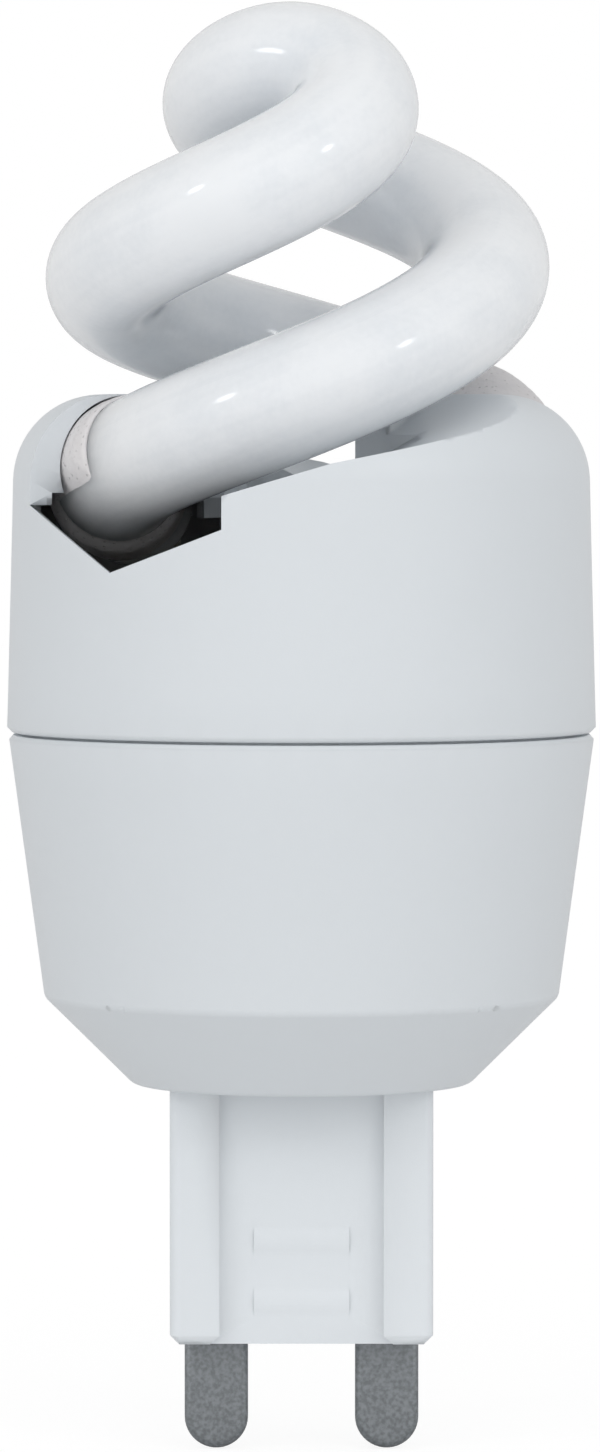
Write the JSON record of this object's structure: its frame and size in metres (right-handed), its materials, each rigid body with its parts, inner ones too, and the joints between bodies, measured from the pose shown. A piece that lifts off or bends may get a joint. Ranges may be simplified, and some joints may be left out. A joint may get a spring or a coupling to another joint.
{
  "type": "spiral compact fluorescent bulb",
  "caption": "Compact fluorescent lamp: a twisted double-helix glass tube on a round tapered housing with a flat plug-in base and blade pins.",
  "frame": {"origin": "on the lamp's axis at the seating face of the base block, midway between the pins", "axes": "+Z along the axis towards the top of the glass, X through both pins, -Y the side with the open window at its left"},
  "size_m": [0.031, 0.031, 0.076],
  "materials": {
    "coated_glass": "white phosphor seen through clear glass",
    "housing_plastic": "satin moulded",
    "base_plastic": "satin moulded",
    "nickel_plate": "dull plated",
    "cement": "rough",
    "board_laminate": "matt",
    "capacitor_sleeve": "shiny shrink sleeve",
    "capacitor_dip": "shiny dipped lacquer",
    "ferrite": "matt sintered",
    "enamelled_copper": "enamelled wire",
    "bobbin_plastic": "matt moulded",
    "tinned_wire": "tinned",
    "moulded_epoxy": "matt moulded",
    "resistor_lacquer": "lacquered",
    "wire_sleeve": "insulated wire"
  },
  "bodies": {
    "root": {"discharge_tube": "coated_glass", "upper_housing": "housing_plastic", "lower_housing": "housing_plastic", "base_block": "base_plastic", "pin_left": "nickel_plate", "pin_right": "nickel_plate", "tube_cement_left": "cement", "tube_cement_right": "cement", "circuit_board": "board_laminate", "bulk_capacitor": "capacitor_sleeve", "starting_capacitor": "capacitor_dip", "resonant_capacitor": "capacitor_dip", "blocking_capacitor": "capacitor_dip", "driver_core": "ferrite", "choke_core_lower": "ferrite", "choke_core_upper": "ferrite", "driver_windings": "enamelled_copper", "choke_winding": "enamelled_copper", "choke_bobbin": "bobbin_plastic", "choke_pins": "tinned_wire", "wrap_posts_left": "tinned_wire", "wrap_posts_right": "tinned_wire", "filament_wires_left": "tinned_wire", "filament_wires_right": "tinned_wire", "transistor_high": "moulded_epoxy", "transistor_low": "moulded_epoxy", "rectifier_diodes": "moulded_epoxy", "fuse_resistor": "resistor_lacquer", "supply_wire_left": "wire_sleeve", "supply_wire_right": "wire_sleeve"}
  },
  "joints": []
}
